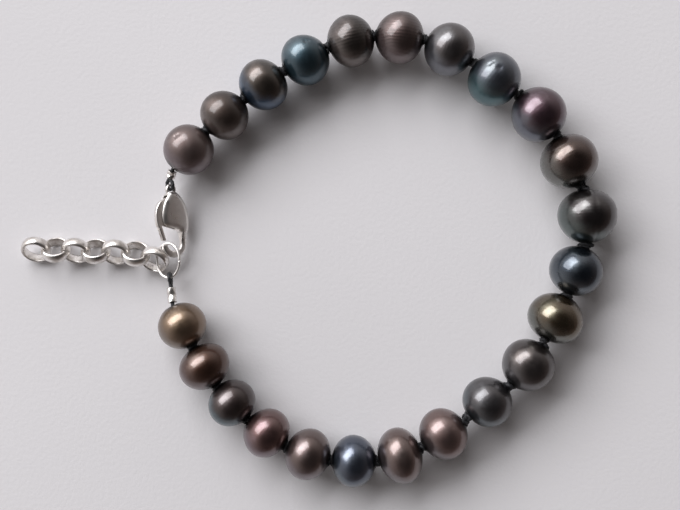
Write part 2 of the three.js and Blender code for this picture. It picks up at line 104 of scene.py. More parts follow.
# The look of each pearl, in order from the clasp. body is the colour of its dyed nacre, the second colour a
# painted highlight towards the window, and the third a painted reflection of the paper on its underside, in its
# overtone's hue. satin is how far its skin scatters a reflection, and rings is how strongly its growth rings show.
Look = namedtuple("Look", "body glow tint satin rings")
PEARL_LOOKS = [
    Look((0.14, 0.103, 0.096), (0.28, 0.23, 0.22), (0.2, 0.16, 0.17), 0.5, 0.1),
    Look((0.062, 0.045, 0.038), (0.26, 0.21, 0.19), (0.17, 0.14, 0.13), 0.5, 0.2),
    Look((0.062, 0.05, 0.042), (0.27, 0.22, 0.2), (0.06, 0.1, 0.16), 0.4, 0.2),
    Look((0.04, 0.07, 0.088), (0.2, 0.26, 0.29), (0.055, 0.1, 0.13), 0.42, 0.2),
    Look((0.044, 0.036, 0.032), (0.26, 0.22, 0.21), (0.15, 0.125, 0.115), 0.44, 1.3),
    Look((0.08, 0.056, 0.052), (0.29, 0.23, 0.22), (0.18, 0.14, 0.14), 0.47, 1.3),
    Look((0.09, 0.08, 0.08), (0.25, 0.26, 0.27), (0.15, 0.155, 0.175), 0.36, 0.3),
    Look((0.084, 0.093, 0.112), (0.22, 0.25, 0.25), (0.07, 0.14, 0.155), 0.4, 0.4),
    Look((0.09, 0.053, 0.065), (0.29, 0.23, 0.27), (0.13, 0.14, 0.17), 0.34, 0.2),
    Look((0.076, 0.049, 0.041), (0.28, 0.24, 0.21), (0.14, 0.14, 0.13), 0.28, 0.3),
    Look((0.047, 0.04, 0.04), (0.26, 0.26, 0.25), (0.11, 0.135, 0.13), 0.32, 0.5),
    Look((0.029, 0.039, 0.054), (0.25, 0.29, 0.32), (0.1, 0.12, 0.14), 0.3, 0.2),
    Look((0.096, 0.07, 0.043), (0.32, 0.31, 0.23), (0.14, 0.145, 0.13), 0.27, 0.3),
    Look((0.078, 0.067, 0.065), (0.32, 0.28, 0.26), (0.13, 0.125, 0.13), 0.38, 0.2),
    Look((0.08, 0.075, 0.078), (0.27, 0.28, 0.29), (0.1, 0.12, 0.135), 0.38, 0.2),
    Look((0.185, 0.125, 0.115), (0.36, 0.29, 0.28), (0.16, 0.135, 0.14), 0.4, 0.2),
    Look((0.16, 0.113, 0.103), (0.34, 0.3, 0.28), (0.16, 0.135, 0.14), 0.34, 0.3),
    Look((0.08, 0.095, 0.13), (0.25, 0.28, 0.32), (0.1, 0.125, 0.15), 0.34, 0.2),
    Look((0.135, 0.096, 0.088), (0.33, 0.27, 0.27), (0.17, 0.14, 0.15), 0.38, 0.2),
    Look((0.14, 0.08, 0.075), (0.33, 0.22, 0.25), (0.17, 0.125, 0.14), 0.36, 0.2),
    Look((0.058, 0.042, 0.04), (0.26, 0.23, 0.23), (0.07, 0.11, 0.13), 0.38, 0.2),
    Look((0.086, 0.043, 0.029), (0.33, 0.26, 0.23), (0.17, 0.13, 0.13), 0.4, 0.2),
    Look((0.205, 0.14, 0.093), (0.4, 0.32, 0.23), (0.21, 0.17, 0.14), 0.38, 0.2),
]

# The sides towards which the nacre is painted with its highlight and with its reflection of the paper
PAINTED_HIGHLIGHT_SIDE = (-0.35, 0.42, 0.8)
PAINTED_REFLECTION_SIDE = (-0.3, -0.5, -0.75)

# The growth rings. Two pearls are drilled across them.
DRILLED_ACROSS = (5, 6)
RING_SPACING = 0.45 * MM
RING_HEIGHT = 0.005 * MM

# A seam that runs over one pearl from mouth to mouth. Its place, as it is seen from above, and its
# width are in shares of the pearl's radius.
SEAM_PEARL = 11
SEAM_PLACE = 0.12
SEAM_WIDTH = 0.045
SEAM_DEPTH = 0.05 * MM

# Marks in the pearls' skin. place is where a mark is seen from above, in shares of the pearl's
# radius to the right and up; radius is a share of it too, and depth is in millimetres.
Mark = namedtuple("Mark", "pearl place radius depth")
PEARL_MARKS = [
    Mark(1, (-0.42, 0.42), 0.07, 0.2),
    Mark(1, (-0.28, 0.5), 0.055, 0.16),
    Mark(4, (0.02, 0.6), 0.07, 0.16),
    Mark(4, (0.14, 0.63), 0.05, 0.12),
    Mark(8, (0.06, 0.28), 0.11, 0.14),
    Mark(8, (-0.3, 0.42), 0.06, 0.1),
    Mark(8, (-0.16, 0.5), 0.05, 0.1),
    Mark(13, (0.35, -0.2), 0.06, 0.04),
    Mark(16, (0.3, 0.4), 0.05, 0.04),
    Mark(20, (0.1, -0.4), 0.06, 0.04),
]

# The silk's two strands. lead is how far a strand's first knot is turned round it, and lift how far
# the strand lies over their middle, in shares of its radius. Each one is twisted from yarns.
Strand = namedtuple("Strand", "lead lift")
STRANDS = (Strand(0.0, 0.3), Strand(1.9, -0.3))
YARNS = 3
YARN_RELIEF = 0.1

CRIMP_BORE = 0.36 * MM
DULL_SILVER = (0.5, 0.46, 0.42)
PAPER_REACH = 6.0

# The window: where it is seen from the bracelet, and how far off and how large it is, in metres
WINDOW_SIDE = (-0.51, 0.6, 0.62)
WINDOW_DISTANCE = 1.4
WINDOW_SIZE = (1.68, 0.87)
WINDOW_COLOUR = (0.97, 0.97, 1.0)

# The room that the pearls mirror
BRIGHT_SIDE = (-0.6, 0.7, 0.0)
BRIGHT_WALL = (1.45, 1.4, 1.39)
FAR_WALL = (0.26, 0.2, 0.18)
CEILING_SIDE = (0.22, -0.16, 0.96)
CEILING = (0.05, 0.047, 0.047)


class PearlSettings(bpy.types.PropertyGroup):
    """The pearls' skin"""

    unevenness: bpy.props.FloatProperty(
        name="Unevenness",
        description="How far a pearl's skin dips under a true oval",
        default=0.1 * MM,
        min=0,
        unit="LENGTH",
    )
    satin: bpy.props.FloatProperty(
        name="Satin",
        description="How far every pearl's skin scatters a reflection, as a share of its own",
        default=1.0,
        min=0,
        max=2,
    )
    metallic: bpy.props.FloatProperty(
        name="Lustre",
        description="How much the dyed nacre shines like metal",
        default=0.93,
        min=0,
        max=1,
        subtype="FACTOR",
    )
    coat: bpy.props.FloatProperty(
        name="Polish",
        description="Strength of the clear reflection on the surface",
        default=0.6,
        min=0,
        max=1,
        subtype="FACTOR",
    )


class SilkSettings(bpy.types.PropertyGroup):
    """The knotted silk"""

    colour: bpy.props.FloatVectorProperty(
        name="Colour",
        description="Colour of the silk",
        default=(0.008, 0.009, 0.011),
        min=0,
        max=1,
        subtype="COLOR",
    )
    thread_radius: bpy.props.FloatProperty(
        name="Thread radius",
        description="Radius of the twisted silk",
        default=0.29 * MM,
        min=0.05 * MM,
        unit="LENGTH",
    )
    knot_radius: bpy.props.FloatProperty(
        name="Knot radius",
        description="How far the middle of the thread swings out in a knot",
        default=0.57 * MM,
        min=0.1 * MM,
        unit="LENGTH",
    )


class SilverSettings(bpy.types.PropertyGroup):
    """The clasp, crimps, jump ring and chain"""

    colour: bpy.props.FloatVectorProperty(
        name="Colour",
        description="Colour of the polished silver",
        default=(0.85, 0.82, 0.79),
        min=0,
        max=1,
        subtype="COLOR",
    )
    roughness: bpy.props.FloatProperty(
        name="Roughness",
        description="Roughness of the polished silver",
        default=0.3,
        min=0,
        max=1,
        subtype="FACTOR",
    )
    voxel: bpy.props.FloatProperty(
        name="Casting detail",
        description="Size of the smallest detail of the cast clasp, in millimetres",
        default=0.06,
        min=0.03,
    )


class StageSettings(bpy.types.PropertyGroup):
    """The paper, the light and the camera"""

    paper_colour: bpy.props.FloatVectorProperty(
        name="Paper",
        description="Colour of the paper that the bracelet lies on",
        default=(0.77, 0.755, 0.765),
        min=0,
        max=1,
        subtype="COLOR",
    )
    camera_height: bpy.props.FloatProperty(
        name="Camera height",
        description="Height of the camera over the bracelet",
        default=0.15,
        min=0.1,
        unit="LENGTH",
    )
    window_power: bpy.props.FloatProperty(
        name="Window",
        description="Power of the window's light, in watts",
        default=25.8,
        min=0,
    )
    room_strength: bpy.props.FloatProperty(
        name="Room",
        description="Strength of the light that the room gives back",
        default=0.56,
        min=0,
    )


def node_points(name):
    """The distinct corners of a CAD node, in metres."""
    vertices = frame["nodes"][name].data.vertices
    return np.array(sorted({tuple(round(value, 8) for value in vertex.co) for vertex in vertices}))


def odd_axis(points):
    """The axis of a turned piece: the direction whose spread differs most from the other two."""
    spread, axes = np.linalg.eigh(np.cov((points - points.mean(axis=0)).T))
    if spread[1] - spread[0] > spread[2] - spread[1]:
        return Vector(axes[:, 0])
    return Vector(axes[:, 2])


def spans(points, centre, axis):
    """How far points lie from a centre along an axis, and how far from the axis."""
    offsets = points - np.array(centre)
    along = offsets @ np.array(axis)
    return along, np.linalg.norm(offsets - np.outer(along, axis), axis=1)


def measure_pearl(number):
    """A pearl's middle, axis and half sizes, read from its node. The corners nearest its middle are
    those of its hole, and the pearl's axis runs along them."""
    points = node_points(f"pearl_{number:02d}")
    middle = points.mean(axis=0)
    nearest = np.argsort(np.linalg.norm(points - middle, axis=1))
    mouths = points[nearest[: 2 * PEARL_SIDES]]
    centre = mouths.mean(axis=0)
    axis = np.linalg.svd(mouths - centre)[2][0]
    along, across = spans(points, centre, axis)
    girth = across > 0.995 * across.max()
    return {
        "number": number,
        "centre": Vector(centre),
        "axis": Vector(axis),
        "half_length": float(along.max()),
        "radius": float(across.max()) * math.cos(math.pi / PEARL_SIDES),
        "bulge": float(along[girth].mean()),
    }


def measure_turned(name):
    """The middle and the axis of a turned piece, such as a crimp or a link, and its reach each way."""
    points = node_points(name)
    low, high = points.min(axis=0), points.max(axis=0)
    axis = odd_axis(points)
    centre = Vector((low + high) / 2)
    along, across = spans(points, centre, axis)
    return {
        "centre": centre,
        "axis": axis,
        "half_length": float(along.max()),
        "radius": float(across.max()),
        "bore": float(across.min()),
    }


def measure_bracelet():
    """All the pearls in order, each axis pointing on towards the next pearl."""
    beads = [measure_pearl(number) for number in range(1, PEARL_COUNT + 1)]
    for index, bead in enumerate(beads):
        before = beads[max(index - 1, 0)]["centre"]
        after = beads[min(index + 1, PEARL_COUNT - 1)]["centre"]
        if bead["axis"].dot(after - before) < 0:
            bead["axis"] = -bead["axis"]
            bead["bulge"] = -bead["bulge"]
    return beads


def mouth(bead, side):
    """Where the drilled hole opens in its dimple, on the side towards the next or last pearl."""
    return bead["centre"] + side * (bead["half_length"] - DIMPLE_DEPTH) * bead["axis"]


def across_of(axis):
    """Two directions at right angles to an axis, the second one pointing up."""
    side = axis.cross(Vector((0, 0, 1))).normalized()
    return side, side.cross(axis)


def clasp_matrix():
    """Turns the clasp's drawing, in millimetres, into its place in the bracelet."""
    joint = next(joint for joint in frame["joints"] if joint["name"] == "lever_pivot")
    turn = Matrix.Rotation(CLASP_HEADING, 3, "Z")
    turn = turn @ Matrix.Rotation(CLASP_PITCH, 3, "Y") @ Matrix.Rotation(CLASP_ROLL, 3, "X")
    if (turn.col[2] - Vector(joint["axis"])).length > 0.001:
        raise RuntimeError("the clasp's drawing is turned away from its joint")
    place = Vector(joint["pos_m"]) - MM * (turn @ PIVOT.to_3d())
    return Matrix.Translation(place) @ turn.to_4x4() @ Matrix.Scale(MM, 4)


def even_values(start, end, steps):
    """Values from start to end in equal steps, with both of them."""
    return [start + (end - start) * step / steps for step in range(steps + 1)]


def turn_angles(steps):
    """The angles of one full turn, in equal steps."""
    return [math.tau * step / steps for step in range(steps)]


def grid_mesh(name, rows, closed=False):
    """A mesh over rows of points that each close round, with u along the rows and v round them.
    An open one is closed by a face at each end."""
    count, sides = len(rows), len(rows[0])
    lengths = count if closed else count - 1
    faces = []
    places = []
    for row in range(lengths):
        here, there = row * sides, (row + 1) % count * sides
        for side in range(sides):
            beside = (side + 1) % sides
            faces.append((here + side, here + beside, there + beside, there + side))
            places.extend([(row, side), (row, side + 1), (row + 1, side + 1), (row + 1, side)])
    if not closed:
        faces.append(tuple(reversed(range(sides))))
        faces.append(tuple(range((count - 1) * sides, count * sides)))
        places.extend([(0, 0)] * sides + [(lengths, 0)] * sides)
    mesh = bpy.data.meshes.new(name)
    mesh.from_pydata([tuple(point) for row in rows for point in row], [], faces)
    layer = mesh.uv_layers.new(name="Along")
    layer.data.foreach_set("uv", (np.array(places, float) / (lengths, sides)).ravel())
    mesh.shade_smooth()
    outward(mesh)
    return mesh


def outward(mesh):
    """Turns every face of a closed mesh outwards."""
    shape = bmesh.new()
    shape.from_mesh(mesh)
    bmesh.ops.recalc_face_normals(shape, faces=shape.faces)
    shape.to_mesh(mesh)
    shape.free()


def tube_rows(path, radius, sides, twist=None):
    """Rings of points round a path. With a twist, the section is that of yarns laid together, which
    make one turn in that length."""
    points = [Vector(point) for point in path]
    rows = []
    normal = None
    travelled = 0.0
    for index, point in enumerate(points):
        before = points[max(index - 1, 0)]
        after = points[min(index + 1, len(points) - 1)]
        tangent = (after - before).normalized()
        if normal is None:
            normal = tangent.orthogonal().normalized()
        normal = (normal - normal.dot(tangent) * tangent).normalized()
        across = tangent.cross(normal)
        travelled += (point - before).length
        row = []
        for angle in turn_angles(sides):
            wave = math.cos(YARNS * (angle - math.tau * travelled / twist)) if twist else 1.0
            reach = radius * (1 - YARN_RELIEF + YARN_RELIEF * wave)
            row.append(point + reach * (math.cos(angle) * normal + math.sin(angle) * across))
        rows.append(row)
    return rows


def smooth_path(points, steps):
    """A smooth line through the points, with as many steps between each two of them."""
    ends = [points[0] * 2 - points[1], *points, points[-1] * 2 - points[-2]]
    path = []
    for index in range(1, len(ends) - 2):
        a, b, c, d = ends[index - 1 : index + 3]
        square = 2 * a - 5 * b + 4 * c - d
        cube = 3 * b - a - 3 * c + d
        for step in range(steps):
            t = step / steps
            path.append(0.5 * (2 * b + (c - a) * t + square * t**2 + cube * t**3))
    path.append(points[-1])
    return path


def kept_mesh(name, shape):
    """Ends the work on a shape and keeps it as a mesh."""
    mesh = bpy.data.meshes.new(name)
    shape.to_mesh(mesh)
    shape.free()
    return mesh


def joined(name, meshes):
    """One mesh made of several."""
    shape = bmesh.new()
    for mesh in meshes:
        shape.from_mesh(mesh)
        bpy.data.meshes.remove(mesh)
    whole = kept_mesh(name, shape)
    whole.shade_smooth()
    return whole


def new_object(name, data):
    """An object with this data, in the scene."""
    item = bpy.data.objects.new(name, data)
    bpy.context.scene.collection.objects.link(item)
    return item


def add_piece(name, mesh, material, slot, *nodes, body="bracelet"):
    """Adds a piece that stands for CAD nodes and rides on their body."""
    mesh.materials.clear()
    mesh.materials.append(material)
    piece = new_object(name, mesh)
    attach(piece, body)
    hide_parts(*nodes)
    return piece


class Shader:
    """The nodes of a material or of the world, added and joined one at a time."""

    def __init__(self, owner):
        owner.use_nodes = True
        self.owner = owner
        self.nodes = owner.node_tree.nodes
        self.links = owner.node_tree.links

    def add(self, kind, values=None, **settings):
        """Adds a node with its settings, and feeds values to its sockets."""
        node = self.nodes.new(kind)
        for key, value in settings.items():
            setattr(node, key, value)
        for key, value in (values or {}).items():
            self.feed(node, key, value)
        return node

    def feed(self, node, key, value):
        """Sets a socket to a number or colour, or joins it to another node's socket."""
        if isinstance(value, bpy.types.NodeSocket):
            self.links.new(value, node.inputs[key])
        elif isinstance(value, tuple):
            node.inputs[key].default_value = (*value, 1)
        else:
            node.inputs[key].default_value = value

    def finish(self, surface="Principled BSDF", **values):
        """Feeds values to the surface, and gives back the finished material or world."""
        for key, value in values.items():
            self.feed(self.nodes[surface], key.replace("_", " "), value)
        return self.owner

    def mix(self, share, first, second):
        """A colour some share of the way from one to another."""
        node = self.add("ShaderNodeMix", {0: share, 6: first, 7: second}, data_type="RGBA")
        return node.outputs[2]

    def place(self):
        """Where a point of the surface is, in metres."""
        return self.add("ShaderNodeTexCoord").outputs["Object"]

    def noise(self, scale, detail=2.0):
        """Soft clouds from 0 to 1, about as many to a metre as the scale says."""
        values = {"Vector": self.place(), "Scale": scale, "Detail": detail}
        return self.add("ShaderNodeTexNoise", values).outputs["Fac"]

    def ranged(self, value, low, high, new_low=0.0, new_high=1.0):
        """Runs smoothly from new_low to new_high as the value goes from low to high."""
        values = {"Value": value, "From Min": low, "From Max": high, "To Min": new_low, "To Max": new_high}
        return self.add("ShaderNodeMapRange", values, interpolation_type="SMOOTHSTEP").outputs["Result"]

    def math(self, operation, first, second=0.0):
        """The result of an operation on one or two values."""
        return self.add("ShaderNodeMath", {0: first, 1: second}, operation=operation).outputs[0]

    def towards(self, vector, direction):
        """How far a vector goes in a direction."""
        values = {0: vector, 1: Vector(direction).normalized()}
        return self.add("ShaderNodeVectorMath", values, operation="DOT_PRODUCT").outputs["Value"]

    def bump(self, height, depth, normal=None):
        """A fine relief, so deep in metres, over the normal of another one."""
        values = {"Height": height, "Distance": depth}
        if normal is not None:
            values["Normal"] = normal
        return self.add("ShaderNodeBump", values).outputs["Normal"]


def nacre_colour(shader, bead, look, clouds):
    """A deep body colour with a painted highlight towards the window and a painted reflection of the paper, in
    its overtone's hue, on the other side, clouded by the layers. It is painted darker at both ends of the hole, as
    painted shade in the dimples."""
    drift = shader.ranged(clouds, 0.3, 0.7, -0.12, 0.12)
    normal = shader.add("ShaderNodeNewGeometry").outputs["Normal"]
    # Painted highlight: where the skin faces the window it turns to its highlight colour.
    towards = shader.math("ADD", shader.towards(normal, PAINTED_HIGHLIGHT_SIDE), drift)
    away = shader.math("ADD", shader.towards(normal, PAINTED_REFLECTION_SIDE), drift)
    # Painted reflection of the paper: the skin facing down and away from the window turns to that colour, in the
    # pearl's overtone hue.
    rim = shader.mix(shader.ranged(away, -0.6, 0.1), look.body, look.tint)
    skin = shader.mix(shader.ranged(towards, 0.8, 1.4), rim, look.glow)
    axis, half = bead["axis"], bead["half_length"]
    along = shader.math("SUBTRACT", shader.towards(shader.place(), axis), bead["centre"].dot(axis))
    # Painted shade in the dimples: the nacre turns much darker towards both ends of the hole.
    ends = shader.ranged(shader.math("ABSOLUTE", along), 0.82 * half, 0.98 * half)
    dimple_shade = tuple(0.2 * part for part in look.body)
    return shader.mix(ends, skin, dimple_shade)


def nacre_relief(shader, bead, look, clouds):
    """Growth rings under a fine grain. They run round the hole, or along it where a pearl is drilled
    across them."""
    ring_axis = across_of(bead["axis"])[0] if bead["number"] in DRILLED_ACROSS else bead["axis"]
    along = shader.math("MULTIPLY", shader.towards(shader.place(), ring_axis), math.tau / RING_SPACING)
    wander = shader.math("MULTIPLY", clouds, 9.0)
    rings = shader.math("SINE", shader.math("ADD", along, wander))
    ringed = shader.bump(rings, RING_HEIGHT * look.rings)
    return shader.bump(shader.noise(2600.0), 0.006 * MM, normal=ringed)


def nacre(bead, look, settings):
    """Dyed nacre under a clear polish."""
    shader = Shader(bpy.data.materials.new(f"nacre_{bead['number']:02d}"))
    clouds = shader.noise(420.0, detail=3.0)
    satin = settings.satin * look.satin
    rough = shader.ranged(shader.noise(900.0, detail=4.0), 0.3, 0.75, satin - 0.04, satin + 0.06)
    return shader.finish(
        Base_Color=nacre_colour(shader, bead, look, clouds),
        Metallic=settings.metallic,
        Roughness=rough,
        Coat_Weight=settings.coat,
        Coat_Roughness=0.35 * satin,
        Coat_IOR=1.7,
        Normal=nacre_relief(shader, bead, look, clouds),
    )


def silk(settings):
    """Black silk: twisted strands with a faint sheen and a fuzz of fine fibres."""
    shader = Shader(bpy.data.materials.new("black_silk"))
    fibres = shader.noise(9000.0, detail=3.0)
    colour = shader.mix(shader.ranged(fibres, 0.35, 0.7), tuple(settings.colour), (0.02, 0.02, 0.024))
    return shader.finish(
        Base_Color=colour,
        Roughness=0.62,
        Sheen_Weight=0.12,
        Sheen_Roughness=0.5,
        Normal=shader.bump(fibres, 0.012 * MM),
    )


def silver(name, settings, roughness, wear=0.3):
    """Polished silver: faint waves of the polishing, small scratches, and patches that are duller by
    the wear."""
    shader = Shader(bpy.data.materials.new(name))
    patches = shader.noise(700.0, detail=4.0)
    dulled = shader.ranged(patches, 0.42, 0.72, 0.0, wear)
    waves = shader.bump(shader.noise(1500.0), 0.01 * MM)
    return shader.finish(
        Base_Color=shader.mix(dulled, tuple(settings.colour), DULL_SILVER),
        Metallic=1.0,
        Roughness=shader.ranged(patches, 0.3, 0.75, roughness * 0.8, roughness * 1.5),
        Normal=shader.bump(shader.noise(14000.0), 0.0012 * MM, normal=waves),
    )


def pearl_profile(bead):
    """Radii and heights from one end of a pearl's hole, over its dimple, round its skin and down into
    the other dimple, back through the hole. The dimples' rims are rounded."""
    half, radius = bead["half_length"], bead["radius"]
    rim = math.asin(DIMPLE_RADIUS / radius)
    dimple = [(0.0, 0.0), (0.25, 0.06), (0.5, 0.2), (0.72, 0.45), (0.88, 0.75)]
    skirt = []
    for share, rise in dimple:
        reach = HOLE_RADIUS + share * (DIMPLE_RADIUS - HOLE_RADIUS)
        skirt.append((reach, -(half - DIMPLE_DEPTH * (1 - rise))))
    bands = 64
    skin = []
    for band in range(bands + 1):
        angle = rim + (math.pi - 2 * rim) * band / bands
        reach = math.cos(angle) / math.cos(rim)
        skin.append((radius * math.sin(angle), bead["bulge"] * (1 - reach * reach) - half * reach))
    far_skirt = [(reach, -height) for reach, height in reversed(skirt)]
    wall = [(HOLE_RADIUS, (half - DIMPLE_DEPTH) * share) for share in (0.6, 0.2, -0.2, -0.6)]
    return skirt + skin + far_skirt + wall


def skin_dip(bead, point, settings):
    """How far a pearl's skin dips at a point: its slow unevenness, its marks and its seam, in metres."""
    direction = (point - bead["centre"]).normalized()
    own_place = Vector((bead["number"] * 7.3, 0, 0))
    slow = noise.noise(direction * 1.3 + own_place)
    dip = settings.unevenness * (0.5 + 0.5 * slow)
    for mark in PEARL_MARKS:
        if mark.pearl == bead["number"]:
            x, y = mark.place
            centre = Vector((x, y, math.sqrt(1 - x * x - y * y)))
            away = (direction - centre).length / mark.radius
            dip += mark.depth * MM * math.exp(-away * away)
    if bead["number"] == SEAM_PEARL and direction.z > 0:
        side = across_of(bead["axis"])[0]
        place = abs(direction.dot(side)) * math.copysign(1, direction.x)
        away = (place - SEAM_PLACE) / SEAM_WIDTH
        dip += SEAM_DEPTH * math.exp(-away * away)
    return dip


def pearl_mesh(bead, settings):
    """A drilled pearl, turned round its own axis."""
    side, top = across_of(bead["axis"])
    rows = []
    for reach, height in pearl_profile(bead):
        row = []
        for angle in turn_angles(96):
            out = math.cos(angle) * side + math.sin(angle) * top
            point = bead["centre"] + height * bead["axis"] + reach * out
            if reach > DIMPLE_RADIUS:
                point -= skin_dip(bead, point, settings) * (point - bead["centre"]).normalized()
            row.append(point)
        rows.append(row)
    return grid_mesh(f"pearl_{bead['number']:02d}_skin", rows, closed=True)


def knot_path(start, end, radius, turn):
    """An overhand knot between two mouths: the long trefoil, drawn in to the strand at both ends. Its
    curve runs from t = -2 to t = 2."""
    axis = (end - start).normalized()
    side, top = across_of(axis)
    middle = (start + end) / 2
    longest = 1.35 * radius
    room = min((end - start).length / 2, longest)
    drawn_from = 1.62
    path = []
    for t in even_values(-2, 2, 44):
        drawn = min(max((abs(t) - drawn_from) / (2 - drawn_from), 0.0), 1.0)
        swing = (1 - drawn**2) * radius
        out = swing * (t**3 - 3 * t) / 2
        rise = swing * (t**4 - 4 * t**2 + 2) / 2
        x = out * math.cos(turn) - rise * math.sin(turn)
        y = out * math.sin(turn) + rise * math.cos(turn)
        path.append(middle + x * side + y * top + room * (t**5 - 10 * t) / 12 * axis)
    return path


def strand_path(beads, settings, first, last, lead):
    """A strand's way from one crimp through every pearl, with a knot between each two, to the other.
    lead is how far its first knot is turned round the strand."""
    golden_turn = 2.4
    path = [first]
    for index, bead in enumerate(beads):
        path.extend([mouth(bead, -1), bead["centre"], mouth(bead, 1)])
        if index + 1 < len(beads):
            start, end = mouth(bead, 1), mouth(beads[index + 1], -1)
            path.extend(knot_path(start, end, settings.knot_radius, lead + index * golden_turn)[1:-1])
    path.append(last)
    return path


def hairpin(start, root, far, rise, spread):
    """A doubled thread: from its start to the root, round a loop to the far side, and back."""
    middle = (root + far) / 2
    reach = root - middle
    side = rise.normalized() * spread
    loop = []
    for angle in turn_angles(20)[1:]:
        loop.append(middle + reach * math.cos(angle) + rise * math.sin(angle))
    near = start.lerp(root, 0.5)
    points = [start + side, near + side, *loop, near - side, start - side]
    return smooth_path(points, 3)


def jump_ring_frame():
    """The oval ring's middle, its half width and half height to the middle of its wire, and the wire's
    radius."""
    points = node_points("jump_ring")
    centre = Vector((points.min(axis=0) + points.max(axis=0)) / 2)
    tall, wide, through = (Vector(axis) for axis in np.linalg.svd(points - points.mean(axis=0))[2])
    tall = tall if tall.y > 0 else -tall
    wide = wide if wide.x > 0 else -wide
    reaches = [float(np.abs(spans(points, centre, axis)[0]).max()) for axis in (through, wide, tall)]
    wire, half_width, half_height = reaches
    return centre, wide * (half_width - wire), tall * (half_height - wire), wire


def squeezed_tube(name, tube, notch):
    """A crimped silver tube: round at its ends, flattened in the middle, with one sharp pinch."""
    side, top = across_of(tube["axis"])
    outer = 0.95 * tube["radius"]
    squeeze_reach, pinch_reach = 0.45, 0.13
    widening, flattening = 0.06, 0.26
    profile = [(outer, share) for share in even_values(-1, 1, 28)]
    profile += [(CRIMP_BORE, share) for share in even_values(1, -1, 28)]
    rows = []
    for radius, share in profile:
        centre = tube["centre"] + share * tube["half_length"] * tube["axis"]
        squeeze = math.exp(-((share / squeeze_reach) ** 2))
        pinch = math.exp(-(((share - notch["place"]) / pinch_reach) ** 2))
        row = []
        for angle in turn_angles(40):
            x = radius * math.cos(angle) * (1 + widening * squeeze)
            y = radius * math.sin(angle) * (1 - flattening * squeeze)
            facing = max(math.cos(angle - notch["angle"]), 0.0) ** 4
            fade = 1 - notch["depth"] * pinch * facing
            row.append(centre + fade * (x * side + y * top))
        rows.append(row)
    return grid_mesh(name, rows, closed=True)


def arc_points(centre, radius, start, end, steps):
    """Points along an arc from one angle to another."""
    angles = even_values(start, end, steps)
    return [Vector((centre.x + radius * math.cos(a), centre.y + radius * math.sin(a))) for a in angles]


def bezier_points(start, first, second, end, steps=18):
    """Points along a curve, without its start."""
    points = []
    for step in range(1, steps + 1):
        t = step / steps
        a, b, c, d = (1 - t) ** 3, 3 * t * (1 - t) ** 2, 3 * t**2 * (1 - t), t**3
        points.append(a * start + b * first + c * second + d * end)
    return points


def spot(share, height):
    """A spot in the clasp's drawing: a share of its length, and a height over its middle line."""
    return Vector((share * CLASP_LENGTH, height))


def cheek_outline():
    """The clasp's cheeks: by the lever's side, round the opening and back along the spine."""
    neck = 1.4 * EYE_RADIUS / CLASP_LENGTH
    side = -CHEEK_REACH
    bulge = SPINE_REACH + SPINE_BULGE
    spine = OPENING_CENTRE.y + HOOK_OPENING
    start = spot(neck, -NECK_HALF_WIDTH)
    corner = spot(0.523, side)
    root = spot(0.673, spine)
    points = [start]
    points += bezier_points(start, spot(0.224, 0.9 * side), spot(0.411, 1.17 * side), corner)
    points += bezier_points(corner, spot(0.598, 0.8 * side), spot(0.589, 0.16 * SPINE_REACH), root)
    shoulder = spot(0.71, SPINE_REACH)
    points += [spot(0.71, spine), shoulder]
    end = spot(neck, NECK_HALF_WIDTH)
    points += bezier_points(shoulder, spot(0.561, 0.9 * bulge), spot(0.28, bulge), end)
    return points


def hook_outline():
    """The hook, from the spine round to its tip."""
    spine = OPENING_CENTRE.y + HOOK_OPENING
    quarter = math.pi / 2
    points = [spot(0.56, SPINE_REACH), spot(0.56, spine)]
    points += arc_points(OPENING_CENTRE, HOOK_OPENING, quarter, -quarter, 28)
    points += arc_points(HOOK_CENTRE, HOOK_RADIUS, -quarter, quarter, 40)
    return points


def lever_outline():
    """The lever: its boss, the bulge for the thumb and the rod that shuts the hook."""
    end = OPENING_CENTRE.x - LEVER_END_GAP
    rod = OPENING_CENTRE.y - HOOK_OPENING - ROD_SINK
    bulge = -LEVER_REACH
    inner = PIVOT.y + LEVER_BOSS
    start = Vector((PIVOT.x - LEVER_BOSS, PIVOT.y))
    thumb = spot(0.542, 0.98 * bulge)
    inside = spot(0.561, 0.73 * bulge)
    top = Vector((PIVOT.x, inner))
    points = [start]
    points += bezier_points(start, spot(0.196, 0.83 * bulge), spot(0.327, 1.12 * bulge), thumb)
    points += [spot(0.575, 0.92 * bulge)]
    points += [Vector((end, rod - ROD_WIDTH / 2)), Vector((end, rod + ROD_WIDTH / 2)), inside]
    points += bezier_points(inside, spot(0.449, 0.63 * bulge), spot(0.374, inner), top)
    points += arc_points(PIVOT, LEVER_BOSS, math.pi / 2, math.pi, 12)[1:-1]
    return points


def crowned_plate(name, outline, thickness, crown, edge):
    """A plate in the clasp's drawing whose two faces rise over a rounded edge. crown is how much
    thinner the plate is at its edge, and edge how far in the rounding goes."""
    shape = bmesh.new()
    rim = [shape.verts.new((point.x, point.y, 0)) for point in outline]
    face = shape.faces.new(rim)
    walls = bmesh.ops.extrude_face_region(shape, geom=[face])
    raised = [item for item in walls["geom"] if isinstance(item, bmesh.types.BMVert)]
    flank = thickness - 2 * crown
    bmesh.ops.translate(shape, verts=raised, vec=(0, 0, flank))
    lids = [lid for lid in shape.faces if len(lid.verts) > 4]
    bmesh.ops.recalc_face_normals(shape, faces=shape.faces)
    rings = 6
    for ring in range(rings):
        start, end = (math.pi / 2 * (ring + step) / rings for step in (0, 1))
        inset = edge * (math.cos(start) - math.cos(end))
        rise = crown * (math.sin(end) - math.sin(start))
        bmesh.ops.inset_individual(shape, faces=lids, thickness=inset, depth=rise)
    bmesh.ops.translate(shape, verts=shape.verts, vec=(0, 0, -flank / 2))
    bmesh.ops.triangulate(shape, faces=shape.faces)
    return kept_mesh(name, shape)


def pivot_rod(name, reach, radius):
    """A round rod along the lever's pivot, as far as its reach both ways."""
    path = [Vector((*PIVOT, height)) for height in (-reach, 0, reach)]
    return grid_mesh(name, tube_rows(path, radius, sides=32))


